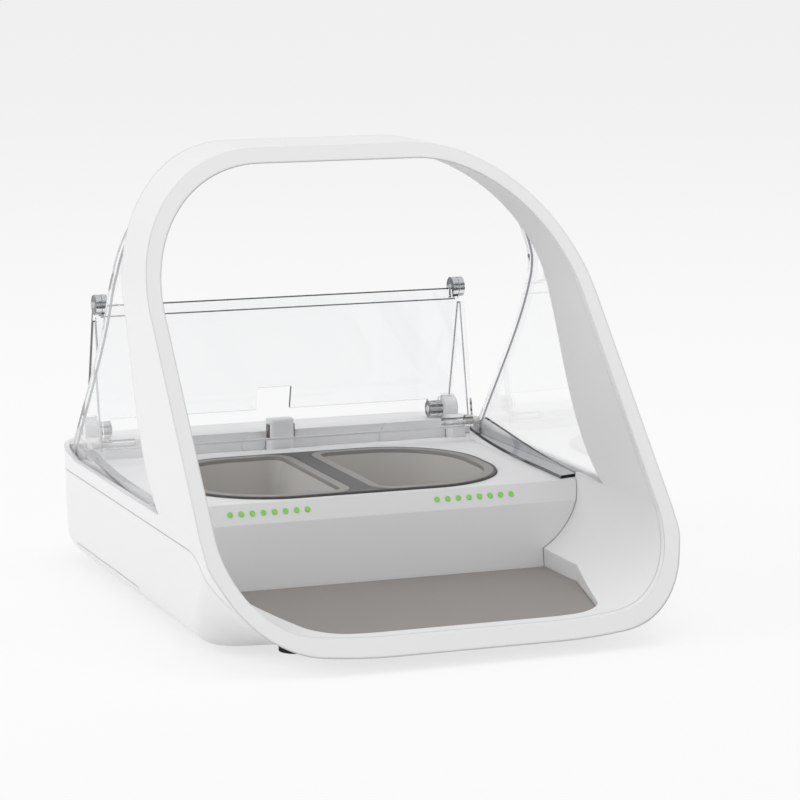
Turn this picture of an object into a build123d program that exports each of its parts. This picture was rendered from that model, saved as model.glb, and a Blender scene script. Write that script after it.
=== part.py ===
from build123d import *
import os
from math import atan, atan2, cos, degrees, hypot, pi, radians, sin, tan

# Microchip pet feeder with a hoop entrance, two half bowls and a folding clear lid.
# Millimetres, +Z up, +X to the right, the hoop faces -Y. The origin is on the ground under the
# middle of the overall box. The lid stands open, as in use while an animal feeds.

# Body
half_width = 112.5          # side wall at its top
rear_y = 148.5              # back wall at its top
rear_corner = 37.0          # radius of the upright rear corners
base_z = 3.0                # underside of the tub
rim_z = 54.0                # top of the side rims
housing_z = 58.0            # top of the rear housing
wall_top = 64.0             # the height at which the wall sizes above hold
wall_draft = 1.6            # how far the walls have drawn in at the underside
wall = 2.6                  # moulded wall of the shells
rear_edge = 14.0            # radius of the lower edge at sides and back
seam_z = 46.7               # joint between lower and upper shell
seam_bend_y = -90.0         # where the joint turns down beside the hoop
seam_setback = 7.0          # the joint's distance behind the hoop's front face
rim_rise_start = 98.0       # the rim climbs to the housing between these two
rim_rise_end = 124.0

# Hoop
rake = 47.8                 # front face, degrees above the ground
face_foot_y = -153.85       # where the front face's plane meets the ground
hoop_corner = 46.0          # lower corner radius
hoop_corner_z = 54.0        # its centre
hoop_flat = 38.0            # half length of the flat under the hoop
belly_angle = 6.0           # slope at which the underside joins the corner
top_radius = 70.5           # upper corner radius
top_setback = 73.3          # side wall to the upper corner's centre
top_centre_x = half_width - top_setback
top_centre_z = 139.0
hoop_depth = 7.0            # front face, outer to inner edge
liner = 2.0                 # wall of the tunnel liner
bezel_return = 3.0          # how far the front ring reaches back inside
blend_front_y = -122.0      # forward of this the tub has the hoop's section
blend_rear_y = -85.0        # behind this it has the small lower edge
band_edge = [(-46.5, 52.0), (-7.5, 91.6), (12.5, 132.5), (34.0, 166.0), (80.0, 210.0)]

# Side windows
window_wall = 2.0
window_foot_z = 50.3
window_lap = 8.0            # hidden under the hoop band
window_lap_gap = 0.1
window_step = 1.2           # band surface to window surface
window_edge = [(113.7, 57.0), (92.1, 82.5), (72.2, 106.0), (54.5, 130.4), (44.4, 152.0)]
window_lip = 4.0            # thickened strip along the rear edge
window_lip_wall = 3.2
window_top = 182.0

# Eating floor
mat_setback = 28.5          # side wall to the mat's rear corners
mat_half_width = half_width - mat_setback
mat_flare_y = -62.0         # forward of this it narrows toward the lip
mat_front_half = 66.0
mat_front_y = -130.0
mat_corner = 18.0
mat_thickness = 1.3
mat_gap = 0.4
mat_rise = 1.0              # degrees, up toward the lip
floor_z = 9.7               # under the mat's rear edge
floor_wall = 1.2
floor_gap = 0.3             # under the sunken floor
riser_foot_y = -24.5
crease_y = -19.5
crease_z = 41.0
deck_front_y = -14.5
deck_z = 50.0
deck_wall = 2.0
deck_rear_y = 112.0
deck_gap = 0.3              # deck to what stands round it

# Lights in the sloped strip
light_count = 8
light_pitch = 5.4
light_row_x = 51.2
light_radius = 1.25
light_gap = 0.05
light_stand = 0.35          # how far each light stands out
light_drop = 4.3            # below the deck's edge
board_depth = 4.0           # light board behind the strip
board_thickness = 1.6

# Bowls and tray
bowl_front_y = -9.0
bowl_back_y = 94.0
bowl_inner_x = 5.0
bowl_outer_x = 79.0
bowl_outer_radius = 44.0
bowl_inner_radius = 12.0
bowl_rim_z = 51.0
bowl_rim = 3.2              # width of the flat rim
bowl_rim_height = 1.4
bowl_wall = 1.8
bowl_bottom_z = 19.7
bowl_taper = 9.0            # wall slope, degrees
bowl_round = 7.0            # inside the bottom edge
tray_wall = 1.4
tray_gap = 0.4
tray_rim = 1.4              # shows outside the bowl rims
tray_rim_height = 1.8

# Weighing gear
platform_top_z = bowl_bottom_z - tray_gap - tray_wall
platform_thickness = 2.0
platform_length = 60.0
platform_width = 46.0
cell_length = 46.0
cell_width = 12.0
cell_height = 6.0
cell_pad = 1.8
scale_x = (bowl_inner_x + bowl_outer_x) / 2

# Lid
pivot_y = 128.5
pivot_z = 62.5
fold_y = 113.7
fold_z = 127.6
slide_y = 99.8
slide_z = 60.4
closed_slope = 3.5          # the closed lid falls this much toward the front
lid_side_margin = 15.5      # side wall to the lid's edge
lid_half_width = half_width - lid_side_margin
lid_wall = 2.0
lid_offset = 0.8            # plate above the line through its axes
lid_flange = 1.6
lid_flange_reach = 1.2      # below the line through its axes
fold_clear = 1.5            # plate end to fold axis
fold_knuckle = 5.0
fold_knuckle_length = 2.9
fold_pin = 1.5
knuckle_gap = 0.3
knuckle_notch = 6.2
pivot_barrel = 4.2
pivot_barrel_length = 6.8
pivot_pin = 2.0
pivot_plate_start = 5.0
slide_pin = 2.0
slide_boss = 3.0
slide_boss_length = 3.5
slide_pin_reach = 3.6       # past the lid's edge
slide_pin_end = lid_half_width + slide_pin_reach
panel_end = 3.4             # front plate past the slide axis
post_notch = 9.0            # half width of the rear panel's notch for the sensor post
post_notch_depth = 17.0
boss_clear = 0.6            # pivot housing to the turning panel
pin_fit = 0.05

# Lid tracks: (y, height of the inner edge, height of the outer edge)
track_lid_gap = 1.0
track_inner_x = lid_half_width + track_lid_gap
track_rim = 5.6             # side wall to the track's outer edge
track_outer_x = half_width - track_rim
track_wall = 1.6
track_seat = 0.2            # track to the wall that carries it
track_line = [(104.0, 56.4, 61.0), (72.0, 53.2, 58.0), (30.0, 52.0, 54.2), (-12.0, 51.8, 52.4)]

# Rear housing
housing_front_y = 120.5
gutter_z = 48.8
cover_wall = 1.5
block_front_y = 110.8
block_rear_y = 136.4
block_setback = 21.1        # side wall to the inner face of a pivot housing
block_width = 7.0
block_inner_x = half_width - block_setback
block_outer_x = block_inner_x + block_width
block_wall = 1.5
block_boss = 6.8
block_drop = 1.8            # its top under the closed lid's axis line
cap_radius = 6.2
cap_z = 51.6
cap_height = 0.8
cap_places = [-60.8, -13.1, 13.1, 60.8]
post_half_width = 6.6
post_front_y = 113.5
post_top_z = 65.0
post_round = 2.5
lens_width = 4.0
lens_height = 7.0
lens_z = 58.5
lens_proud = 0.3

# Gear train inside the right pivot housing
gear_module = 0.5
lid_gear_teeth = 18
idler_teeth = 30
pinion_teeth = 12
gear_width = 2.6
gear_side_gap = 0.7
gear_backlash = 0.12
idler_angle = 80.0          # below the forward horizontal
idler_pin = 1.5
motor_shaft = 1.5
motor_length = 24.0
motor_depth = 12.0
motor_height = 10.0
pinion_angle = 30.0         # ahead of straight down from the idler

# Batteries: four C cells in two bays
battery_radius = 13.1
battery_length = 50.0
battery_nub = 3.0
battery_nub_height = 1.5
battery_setback = 18.5      # side wall to the cells' axis
battery_x = half_width - battery_setback
battery_z = 20.2
battery_front_y = 0.0
box_wall = 1.3
box_gap = 0.4
contact_thickness = 0.6
contact_gap = 0.8
door_width = 32.1           # from the side wall inward
door_inner_x = half_width - door_width
door_top_z = 12.0
door_gap = 0.3
door_wall = 2.2

# Buttons in the back wall
button_setbacks = [37.5, 52.5, 67.5]   # from the side wall
button_places = [setback - half_width for setback in button_setbacks]
button_z = 32.0
button_radius = 4.2
button_flange = 5.4
button_gap = 0.15
button_stand = 0.7
button_travel = 1.0
switch_size = 6.0
switch_height = 3.2
button_board_y = 136.0
button_board_height = 14.0
pillar_offset = 9.0         # board pillars beside the outer buttons
pillar_radius = 2.2

# Boards, feet, coil and screws
main_board_y = 116.6
main_board_half = 60.0
main_board_low = 11.0
main_board_high = 41.0
rail_width = 3.0
foot_radius = 7.5
foot_places = [(-66.0, -96.0), (66.0, -96.0), (-66.0, 120.0), (66.0, 120.0)]
screw_places = [(-62.0, -14.0), (62.0, -14.0), (-62.0, 106.0), (62.0, 106.0), (-38.0, 137.0), (38.0, 137.0)]
screw_head = 3.0
screw_shank = 1.5
screw_length = 12.0
screw_gap = 0.1
boss_radius = 5.0
counterbore = 2.2
coil_setback = 6.0
coil_width = 6.0
coil_gap = 0.4
coil_foot_z = 18.0

# Worked out from the sizes above
wall_tilt = atan(wall_draft / (wall_top - base_z))
rear_centre_x = half_width - rear_corner
rear_centre_y = rear_y - rear_corner
far = 400.0                 # past every outline


def face_y(height, depth=0.0):
    return face_foot_y + height / tan(radians(rake)) + depth / sin(radians(rake))


def wall_x(height, inset=0.0):
    return half_width - inset / cos(wall_tilt) - (wall_top - height) * tan(wall_tilt)


def face_of(curves):
    return Face(Wire([edge for curve in curves for edge in curve.edges()]))


def along_x(points, low, high):
    outline = Polyline([(low, y, z) for y, z in points], close=True)
    return extrude(face_of([outline]), amount=high - low, dir=(1, 0, 0))


def box(x, y, z):
    return Pos(sum(x) / 2, sum(y) / 2, sum(z) / 2) * Box(x[1] - x[0], y[1] - y[0], z[1] - z[0])


def rod_x(x, y, z, radius):
    return Pos(sum(x) / 2, y, z) * Rot(0, 90, 0) * Cylinder(radius, x[1] - x[0])


def rod_y(x, y, z, radius):
    return Pos(x, sum(y) / 2, z) * Rot(90, 0, 0) * Cylinder(radius, y[1] - y[0])


def rod_z(x, y, z, radius):
    return Pos(x, y, sum(z) / 2) * Cylinder(radius, z[1] - z[0])


def arc_xz(centre, radius, start, end, y):
    turns = [radians(angle) for angle in (start, (start + end) / 2, end)]
    points = [(centre[0] + radius * cos(a), y, centre[1] + radius * sin(a)) for a in turns]
    return ThreePointArc(*points)


def mirrored(curve):
    return mirror(curve, about=Plane.YZ)


# Lower half of a section across the body. The share runs from 0, the tub with its small lower
# edge, to 1, the hoop with its large corner and gently bellied underside.
def lower_curves(y, share, inset):
    radius = rear_edge + (hoop_corner - rear_edge) * share
    centre_z = base_z + rear_edge + (hoop_corner_z - base_z - rear_edge) * share
    centre_x = wall_x(centre_z) - radius / cos(wall_tilt)
    belly = radians(belly_angle * share)
    inner = radius - inset
    join = (centre_x + inner * sin(belly), centre_z - inner * cos(belly))
    if share > 0:
        belly_radius = (join[0] - hoop_flat) / sin(belly)
        flat_z = join[1] - belly_radius * (1 - cos(belly))
        middle = (hoop_flat + belly_radius * sin(belly / 2), flat_z + belly_radius * (1 - cos(belly / 2)))
        under = ThreePointArc((hoop_flat, y, flat_z), (middle[0], y, middle[1]), (join[0], y, join[1]))
    else:
        flat_z = join[1]
        under = Line((hoop_flat, y, flat_z), (join[0], y, join[1]))
    corner = arc_xz((centre_x, centre_z), inner, -90 + degrees(belly), -degrees(wall_tilt), y)
    return flat_z, under, corner


def tub_section(y, share, inset):
    flat_z, under, corner = lower_curves(y, share, inset)
    side = Line(corner @ 1, (wall_x(wall_top, inset), y, wall_top))
    bottom = Line((-hoop_flat, y, flat_z), (hoop_flat, y, flat_z))
    top = Line((-wall_x(wall_top, inset), y, wall_top), (wall_x(wall_top, inset), y, wall_top))
    right = [under, corner, side]
    return face_of([bottom, top] + right + [mirrored(curve) for curve in right])


def tub_footprint(z, inset, front_y):
    side = wall_x(z, inset)
    back = side - half_width + rear_y
    radius = side - rear_centre_x
    centre = (rear_centre_x, rear_centre_y)
    middle = radius * cos(pi / 4)
    corner = ThreePointArc(
        (side, centre[1], z), (centre[0] + middle, centre[1] + middle, z), (centre[0], back, z)
    )
    right = [Line((side, front_y, z), (side, centre[1], z)), corner]
    ends = [Line((-side, front_y, z), (side, front_y, z)), Line((-centre[0], back, z), (centre[0], back, z))]
    return face_of(ends + right + [mirrored(curve) for curve in right])


# The tub's outside, or the space a wall's inset inside it
def tub(inset):
    low = base_z + inset
    rear = loft([tub_footprint(low, inset, blend_rear_y), tub_footprint(wall_top, inset, blend_rear_y)], ruled=True)
    floor = rear.faces().sort_by(Axis.Z)[0]
    lower = [edge for edge in floor.edges() if edge.center().Y > blend_rear_y + 1]
    rear = fillet(lower, rear_edge - inset)
    steps = 4
    span = blend_front_y - blend_rear_y
    places = [(blend_rear_y + span * n / steps, n / steps) for n in range(steps + 1)]
    blend = loft([tub_section(y, 3 * t * t - 2 * t ** 3, inset) for y, t in places])
    front = extrude(tub_section(blend_front_y, 1, inset), amount=60, dir=(0, -1, 0))
    return rear + blend + front


# An arch over the rim: side lines that lean in a little, the two upper corners and the flat top
def arch(foot_x, foot_z, inset, y_low, y_high):
    radius = top_radius - inset
    corner = arc_xz((top_centre_x, top_centre_z), radius, 0, 90, y_low)
    right = [Line((foot_x, y_low, foot_z), corner @ 0), corner]
    top = Line((-top_centre_x, y_low, top_centre_z + radius), (top_centre_x, y_low, top_centre_z + radius))
    foot = Line((-foot_x, y_low, foot_z), (foot_x, y_low, foot_z))
    face = face_of([foot, top] + right + [mirrored(curve) for curve in right])
    return extrude(face, amount=y_high - y_low, dir=(0, 1, 0))


# The hoop's whole section, run back along the tunnel
def tunnel(inset):
    y_low = face_foot_y - 10
    flat_z, under, corner = lower_curves(y_low, 1, inset)
    upper = arc_xz((top_centre_x, top_centre_z), top_radius - inset, 0, 90, y_low)
    side = Line(corner @ 1, upper @ 0)
    right = [under, corner, side, upper]
    bottom = Line((-hoop_flat, y_low, flat_z), (hoop_flat, y_low, flat_z))
    top_z = top_centre_z + top_radius - inset
    top = Line((-top_centre_x, y_low, top_z), (top_centre_x, y_low, top_z))
    face = face_of([bottom, top] + right + [mirrored(curve) for curve in right])
    return extrude(face, amount=270, dir=(0, 1, 0))


def behind_face(depth):
    points = [(face_y(-20, depth), -20), (face_y(260, depth), 260), (far, 260), (far, -20)]
    return along_x(points, -far / 2, far / 2)


def face_slice(start, end):
    return behind_face(start) - behind_face(end)


# Everything in front of the rear edge of the hoop band, above the rim
def band_region(shift, low_z):
    x = -far / 2
    edge = Spline([(x, y + shift, z) for y, z in band_edge])
    start = edge @ 0
    end = edge @ 1
    rest = Polyline(
        (end.X, end.Y, end.Z), (x, end.Y + 22, 231), (x, -far, 231), (x, -far, low_z),
        (x, start.Y, low_z), (start.X, start.Y, start.Z)
    )
    return extrude(face_of([edge, rest]), amount=far, dir=(1, 0, 0))


# The solid below the joint between the shells, which turns down behind the hoop's face
def below_seam():
    drop = 12.0
    bend = (face_y(seam_z - drop, seam_setback), seam_z - drop)
    x = -far / 2
    slope = Vector(0, -cos(radians(rake)), -sin(radians(rake)))
    curve = TangentArc((x, bend[0], bend[1]), (x, seam_bend_y, seam_z), tangent=slope * -1)
    foot = Line((x, face_y(-10, seam_setback), -10), (x, bend[0], bend[1]))
    start = curve @ 1
    rest = Polyline((start.X, start.Y, start.Z), (x, far, seam_z), (x, far, -10), (x, face_y(-10, seam_setback), -10))
    return extrude(face_of([foot, curve, rest]), amount=far, dir=(1, 0, 0))


def above_rim():
    points = [
        (-far, rim_z), (rim_rise_start, rim_z), (rim_rise_end, housing_z), (far, housing_z),
        (far, 120), (-far, 120)
    ]
    return along_x(points, -far / 2, far / 2)


def both_sides(shape):
    return shape + mirror(shape, about=Plane.YZ)


# Lid geometry in the plane across the hinge axes
def unit(y, z):
    size = hypot(y, z)
    return y / size, z / size


rear_panel_length = hypot(fold_y - pivot_y, fold_z - pivot_z)
front_panel_length = hypot(slide_y - fold_y, slide_z - fold_z)
rear_along = unit(fold_y - pivot_y, fold_z - pivot_z)
rear_out = (rear_along[1], -rear_along[0])
front_along = unit(slide_y - fold_y, slide_z - fold_z)
front_out = (front_along[1], -front_along[0])
rear_open = degrees(atan2(fold_z - pivot_z, pivot_y - fold_y))
front_open = degrees(atan2(fold_z - slide_z, fold_y - slide_y))
lid_turn = rear_open + closed_slope
fold_turn = rear_open + front_open


# A plate of the lid between two distances along a panel and two heights over its axis line
def panel_plate(origin, along, out, x, span, height):
    corners = [(span[0], height[0]), (span[1], height[0]), (span[1], height[1]), (span[0], height[1])]
    points = [
        (origin[0] + along[0] * s + out[0] * h, origin[1] + along[1] * s + out[1] * h) for s, h in corners
    ]
    return along_x(points, x[0], x[1])


def lid_rear_panel():
    origin = (pivot_y, pivot_z)
    end = rear_panel_length - fold_clear
    skin = (lid_offset, lid_offset + lid_wall)
    wide = (-lid_half_width, lid_half_width)

    def plate(x, span, height):
        return panel_plate(origin, rear_along, rear_out, x, span, height)

    body = plate(wide, (pivot_plate_start, end), skin)
    notch_x = lid_half_width - 2 * (fold_knuckle_length + knuckle_gap)
    notch = (rear_panel_length - knuckle_notch, rear_panel_length + 9)
    body -= both_sides(plate((notch_x, far / 2), notch, (-9, 9)))
    body -= plate((-post_notch, post_notch), (0, post_notch_depth), (-9, 9))
    clear_x = block_inner_x - knuckle_gap
    clear_s = block_boss + boss_clear
    body -= both_sides(plate((clear_x, far / 2), (0, clear_s), (-9, 9)))
    reach = (-lid_flange_reach, lid_offset + lid_wall)
    flange = plate((lid_half_width - lid_flange, lid_half_width), (clear_s, end - 7), reach)
    outer = (lid_half_width - fold_knuckle_length, lid_half_width)
    tab = plate(outer, (end - 9, rear_panel_length), skin)
    knuckle = rod_x(outer, fold_y, fold_z, fold_knuckle)
    barrel_x = (block_inner_x - knuckle_gap - pivot_barrel_length, block_inner_x - knuckle_gap)
    barrel = rod_x(barrel_x, pivot_y, pivot_z, pivot_barrel)
    arm = plate(barrel_x, (0, pivot_plate_start + 2), skin)
    body += both_sides(flange + tab + knuckle + barrel + arm)
    body -= both_sides(rod_x((80, 120), fold_y, fold_z, fold_pin + pin_fit))
    return body - both_sides(rod_x((80, 120), pivot_y, pivot_z, pivot_pin + pin_fit))


def lid_front_panel():
    origin = (fold_y, fold_z)
    end = front_panel_length + panel_end
    skin = (lid_offset, lid_offset + lid_wall)
    wide = (-lid_half_width, lid_half_width)

    def plate(x, span, height):
        return panel_plate(origin, front_along, front_out, x, span, height)

    body = plate(wide, (fold_clear, end), skin)
    notch_x = lid_half_width - 2 * (fold_knuckle_length + knuckle_gap)
    body -= both_sides(plate((notch_x, far / 2), (-9, knuckle_notch), (-9, 9)))
    reach = (-lid_flange_reach, lid_offset + lid_wall)
    flange = plate((lid_half_width - lid_flange, lid_half_width), (fold_clear + 7, end), reach)
    lip = plate(wide, (end - lid_flange, end), reach)
    inner_end = lid_half_width - fold_knuckle_length - knuckle_gap
    inner = (inner_end - fold_knuckle_length, inner_end)
    tab = plate(inner, (0, fold_clear + 9), skin)
    knuckle = rod_x(inner, fold_y, fold_z, fold_knuckle)
    boss = rod_x((lid_half_width - slide_boss_length, lid_half_width), slide_y, slide_z, slide_boss)
    body += lip + both_sides(flange + tab + knuckle + boss)
    body -= both_sides(rod_x((80, 120), fold_y, fold_z, fold_pin + pin_fit))
    return body - both_sides(rod_x((80, 120), slide_y, slide_z, slide_pin + pin_fit))


# Shells
def lower_shell():
    body = (tub(0) & below_seam()) - tub(wall)
    for side in (-1, 1):
        opening = door_opening(door_gap)
        body -= opening if side > 0 else mirror(opening, about=Plane.YZ)
    for x, y in screw_places:
        low = base_z
        boss = rod_z(x, y, (low, low + wall + screw_length), boss_radius)
        body += boss & tub(1)
        body -= rod_z(x, y, (low - 9, low + 99), screw_shank + screw_gap)
        body -= rod_z(x, y, (low - 9, low + counterbore + screw_gap + 2), screw_head + screw_gap)
    for x in button_places:
        body -= rod_y(x, (rear_y - 12, rear_y + 9), button_z, button_radius + button_gap)
    rail_x = main_board_half + pin_fit
    rail = box((rail_x - rail_width, rail_x + rail_width), (main_board_y - 3, main_board_y + 5),
               (base_z + 1, main_board_high))
    slot = box((-rail_x, rail_x), (main_board_y, main_board_y + board_thickness), (main_board_low, far))
    body += both_sides(rail - slot)
    return body - floor_block(mat_gap + floor_wall + floor_gap, floor_z - floor_wall - floor_gap, rim_z)


def door_opening(gap):
    length = 2 * battery_length + 2 * contact_gap + 2 * contact_thickness
    y = (battery_front_y - contact_gap - contact_thickness - gap,
         battery_front_y + length - contact_gap - contact_thickness + gap)
    return box((door_inner_x - gap, far / 2), y, (-9, door_top_z + gap))


def battery_door():
    return (tub(0) - tub(door_wall)) & door_opening(0)


def upper_body():
    outer = (tub(0) - above_rim()) - below_seam()
    hoop = arch(wall_x(rim_z), rim_z, 0, face_foot_y - 10, 110) & band_region(0, rim_z - 3)
    inner = arch(wall_x(rim_z, wall), rim_z - 1, wall, face_foot_y - 10, 110)
    space = (tub(wall) + inner) & behind_face(wall)
    body = ((outer + hoop) & behind_face(0)) - space
    lining = (tunnel(hoop_depth - liner) & face_slice(0, bezel_return)) & band_region(0, -20)
    body = (body + lining) - tunnel(hoop_depth)
    lap = window_blank(window_step - window_lap_gap, window_wall + 2 * window_lap_gap)
    groove = band_region(0, rim_z - 4) - band_region(-window_lap - window_lap_gap, rim_z - 9)
    body -= lap & groove
    return body - floor_block(mat_gap + floor_wall + floor_gap, floor_z - floor_wall - floor_gap, rim_z)


# The clear sheet of one side before its edges are cut
def window_blank(step, thickness):
    outer_x = wall_x(rim_z, wall) - deck_gap + window_step - step
    outer = arch(outer_x, window_foot_z, step, face_foot_y - 10, 130)
    inner = arch(outer_x - thickness, window_foot_z - 9, step + thickness, face_foot_y - 20, 140)
    return outer - inner


def window_region(setback):
    x = 0
    edge = Spline([(x, y - setback, z) for y, z in window_edge])
    start = edge @ 0
    end = edge @ 1
    rest = Polyline(
        (end.X, end.Y, end.Z), (x, end.Y, window_top), (x, -far, window_top), (x, -far, 0),
        (x, start.Y, 0), (start.X, start.Y, start.Z)
    )
    return extrude(face_of([edge, rest]), amount=far, dir=(1, 0, 0))


def side_window():
    region = window_region(0) - band_region(-window_lap, rim_z - 9)
    front = box((0, far), (-far, band_edge[0][0] - window_lap), (0, far))
    lip = window_region(0) - window_region(window_lip)
    sheet = window_blank(window_step, window_wall) & region
    strip = window_blank(window_step, window_lip_wall) & (lip & region)
    return sheet + (strip - band_region(0, rim_z - 9)) - front


# Skin of the tunnel, with the sunken floor for the mat
def tunnel_liner():
    depth = hoop_depth - liner
    rear = [(riser_foot_y, -9), (riser_foot_y, floor_z), (crease_y, crease_z), (deck_front_y, deck_z),
            (deck_front_y, rim_z - 1)]
    points = [(-far, -9)] + [(y + deck_wall - 0.2, z) for y, z in rear] + [(-far, rim_z - 1)]
    region = band_region(0, rim_z - 4) + along_x(points, -far / 2, far / 2)
    skin = (tunnel(depth) - tunnel(hoop_depth)) & (region & behind_face(bezel_return))
    close = (tunnel(window_step + window_wall + 2 * window_lap_gap) - tunnel(hoop_depth)) & behind_face(bezel_return)
    closing = (close & band_region(0, rim_z - 4)) - band_region(-liner / sin(radians(rake)), rim_z - 9)
    closing = closing & box((-far / 2, far / 2), (-far, far), (rim_z, far))
    closing -= window_blank(window_step - window_lap_gap, window_wall + 2 * window_lap_gap)
    well = floor_block(mat_gap + floor_wall, floor_z - floor_wall, hoop_corner_z - 30)
    inside = floor_block(mat_gap, floor_z, rim_z)
    body = skin + (well - tunnel(depth + liner / 2)) + closing
    return body - inside


# The mat's outline grown by a gap, between two heights
def floor_block(grow, low, high):
    half = mat_half_width + grow
    front = mat_front_y - grow
    rear = riser_foot_y + deck_wall
    radius = mat_corner + grow
    right = [(half, rear), (half, mat_flare_y), (mat_front_half + grow, front)]
    left = [(-x, y) for x, y in reversed(right)]
    outline = Polyline([(x, y, low) for x, y in right + left], close=True)
    block = extrude(face_of([outline]), amount=high - low, dir=(0, 0, 1))
    corners = [edge for edge in block.edges().filter_by(Axis.Z) if edge.center().Y < front + 1]
    turn = Pos(0, riser_foot_y, floor_z) * Rot(-mat_rise, 0, 0) * Pos(0, -riser_foot_y, -floor_z)
    return turn * fillet(corners, radius)


def floor_mat():
    block = floor_block(0, floor_z, floor_z + mat_thickness)
    return block & box((-far / 2, far / 2), (-far, riser_foot_y - mat_gap), (0, far))


def bowl_deck():
    top = [(deck_rear_y, deck_z), (deck_front_y, deck_z), (crease_y, crease_z), (riser_foot_y, floor_z + 0.1)]
    low = [(riser_foot_y + deck_wall, floor_z + 0.1), (crease_y + deck_wall, crease_z - 0.3),
           (deck_front_y + deck_wall * 0.8, deck_z - deck_wall), (deck_rear_y, deck_z - deck_wall)]
    front_half = wall_x(rim_z, hoop_depth) - deck_gap
    front = along_x(top + low, -front_half, front_half)
    well = floor_block(mat_gap - deck_gap, 0, rim_z)
    front = front & (tunnel(hoop_depth + deck_gap) + well)
    plate = box((-far / 2, far / 2), (deck_front_y + deck_wall + deck_gap, deck_rear_y), (deck_z - deck_wall, deck_z))
    side = block_outer_x + deck_gap
    tab = box((side, far / 2), (deck_rear_y - 1, housing_front_y - deck_gap), (deck_z - deck_wall, deck_z))
    plate = (plate + both_sides(tab)) & tub(wall + deck_gap)
    body = front + plate + both_sides(track_web())
    body -= tray_outline(tray_gap, deck_z - 20, deck_z + 9)
    for place in light_places():
        body -= light_rod(place, -6, 6, light_radius + light_gap)
    return body


def light_places():
    middle = (light_count - 1) / 2
    offsets = [(n - middle) * light_pitch for n in range(light_count)]
    return [side * light_row_x + offset for side in (-1, 1) for offset in offsets]


# A rod square to the sloped strip, from one depth to another
def light_rod(x, start, end, radius):
    slope = unit(crease_y - deck_front_y, crease_z - deck_z)
    reach = light_drop / -slope[1]
    foot = (deck_front_y + slope[0] * reach, deck_z - light_drop)
    out = (slope[1], -slope[0])
    middle = (start + end) / 2
    centre = (x, foot[0] + out[0] * middle, foot[1] + out[1] * middle)
    turn = degrees(atan2(out[0], out[1]))
    return Pos(*centre) * Rot(-turn, 0, 0) * Cylinder(radius, end - start)


def light_pipes():
    return [light_rod(x, -board_depth, light_stand, light_radius) for x in light_places()]


def light_board():
    slope = unit(crease_y - deck_front_y, crease_z - deck_z)
    out = (slope[1], -slope[0])
    origin = (deck_front_y, deck_z)
    half = light_row_x + light_count * light_pitch / 2 + 4
    reach = light_drop / -slope[1]
    return panel_plate(origin, slope, out, (-half, half), (reach - 1.9, reach + 4),
                       (-board_depth - board_thickness, -board_depth))


# Bowls and tray
def half_outline(z, grow):
    left = bowl_inner_x - grow
    right = bowl_outer_x + grow
    front = bowl_front_y - grow
    back = bowl_back_y + grow
    face = Pos((left + right) / 2, (front + back) / 2, z) * Rectangle(right - left, back - front)
    outer = [v for v in face.vertices() if v.X > left + 1]
    face = fillet(outer, bowl_outer_radius + grow)
    inner = [v for v in face.vertices() if v.X < left + 1]
    return fillet(inner, bowl_inner_radius + grow)


# A tapered bowl-shaped solid that is narrower by the slope at its lower end
def bowl_solid(grow, low, high):
    start = bowl_rim_z - bowl_rim_height
    slope = tan(radians(bowl_taper))
    sections = [half_outline(z, grow - bowl_rim - (start - z) * slope) for z in (low, high)]
    return loft(sections, ruled=True)


def bowl():
    top = bowl_rim_z
    body = bowl_solid(0, bowl_bottom_z, top - bowl_rim_height / 2)
    lower = body.faces().sort_by(Axis.Z)[0].edges()
    body = fillet(lower, bowl_round + bowl_wall)
    body += extrude(half_outline(top - bowl_rim_height, 0), amount=bowl_rim_height, dir=(0, 0, 1))
    space = bowl_solid(-bowl_wall, bowl_bottom_z + bowl_wall, top + 2)
    lower = space.faces().sort_by(Axis.Z)[0].edges()
    return body - fillet(lower, bowl_round)


def tray_outline(grow, low, high):
    size = tray_rim + grow
    half = bowl_outer_x + size
    front = bowl_front_y - size
    back = bowl_back_y + size
    block = box((-half, half), (front, back), (low, high))
    return fillet(block.edges().filter_by(Axis.Z), bowl_outer_radius + size)


def bowl_tray():
    rim_low = bowl_rim_z - bowl_rim_height - tray_rim_height
    body = tray_outline(0, rim_low, bowl_rim_z - bowl_rim_height)
    collar = tray_outline(0, rim_low, bowl_rim_z)
    seats = both_sides(extrude(half_outline(rim_low - 1, tray_gap / 2), amount=9, dir=(0, 0, 1)))
    body += collar - seats
    body += both_sides(bowl_solid(tray_gap + tray_wall, platform_top_z, rim_low + 0.5))
    cavity = bowl_solid(tray_gap, platform_top_z + tray_wall, bowl_rim_z + 2)
    return body - both_sides(cavity)


# Weighing gear under each bowl
def weigh_platform():
    y = (bowl_front_y + bowl_back_y) / 2
    return box((scale_x - platform_width / 2, scale_x + platform_width / 2),
               (y - platform_length / 2, y + platform_length / 2),
               (platform_top_z - platform_thickness, platform_top_z))


def load_cell():
    y = (bowl_front_y + bowl_back_y) / 2
    high = platform_top_z - platform_thickness
    low = base_z + wall
    x = (scale_x - cell_width / 2, scale_x + cell_width / 2)
    bar = box(x, (y - cell_length / 2, y + cell_length / 2), (high - cell_pad - cell_height, high - cell_pad))
    hole = rod_x((0, far), y, high - cell_pad - cell_height / 2, cell_height / 3)
    fixed = box(x, (y - cell_length / 2, y - cell_length / 2 + cell_width), (low, high - cell_pad))
    free = box(x, (y + cell_length / 2 - cell_width, y + cell_length / 2), (high - cell_pad - 1, high))
    return bar - hole + fixed + free


# Tracks and rear housing
def lid_track():
    def section(y, low, high):
        points = [(track_inner_x, y, low), (track_outer_x, y, high),
                  (track_outer_x, y, high - track_wall), (track_inner_x, y, low - track_wall)]
        return face_of([Polyline(points, close=True)])

    return loft([section(*place) for place in track_line])


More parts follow.
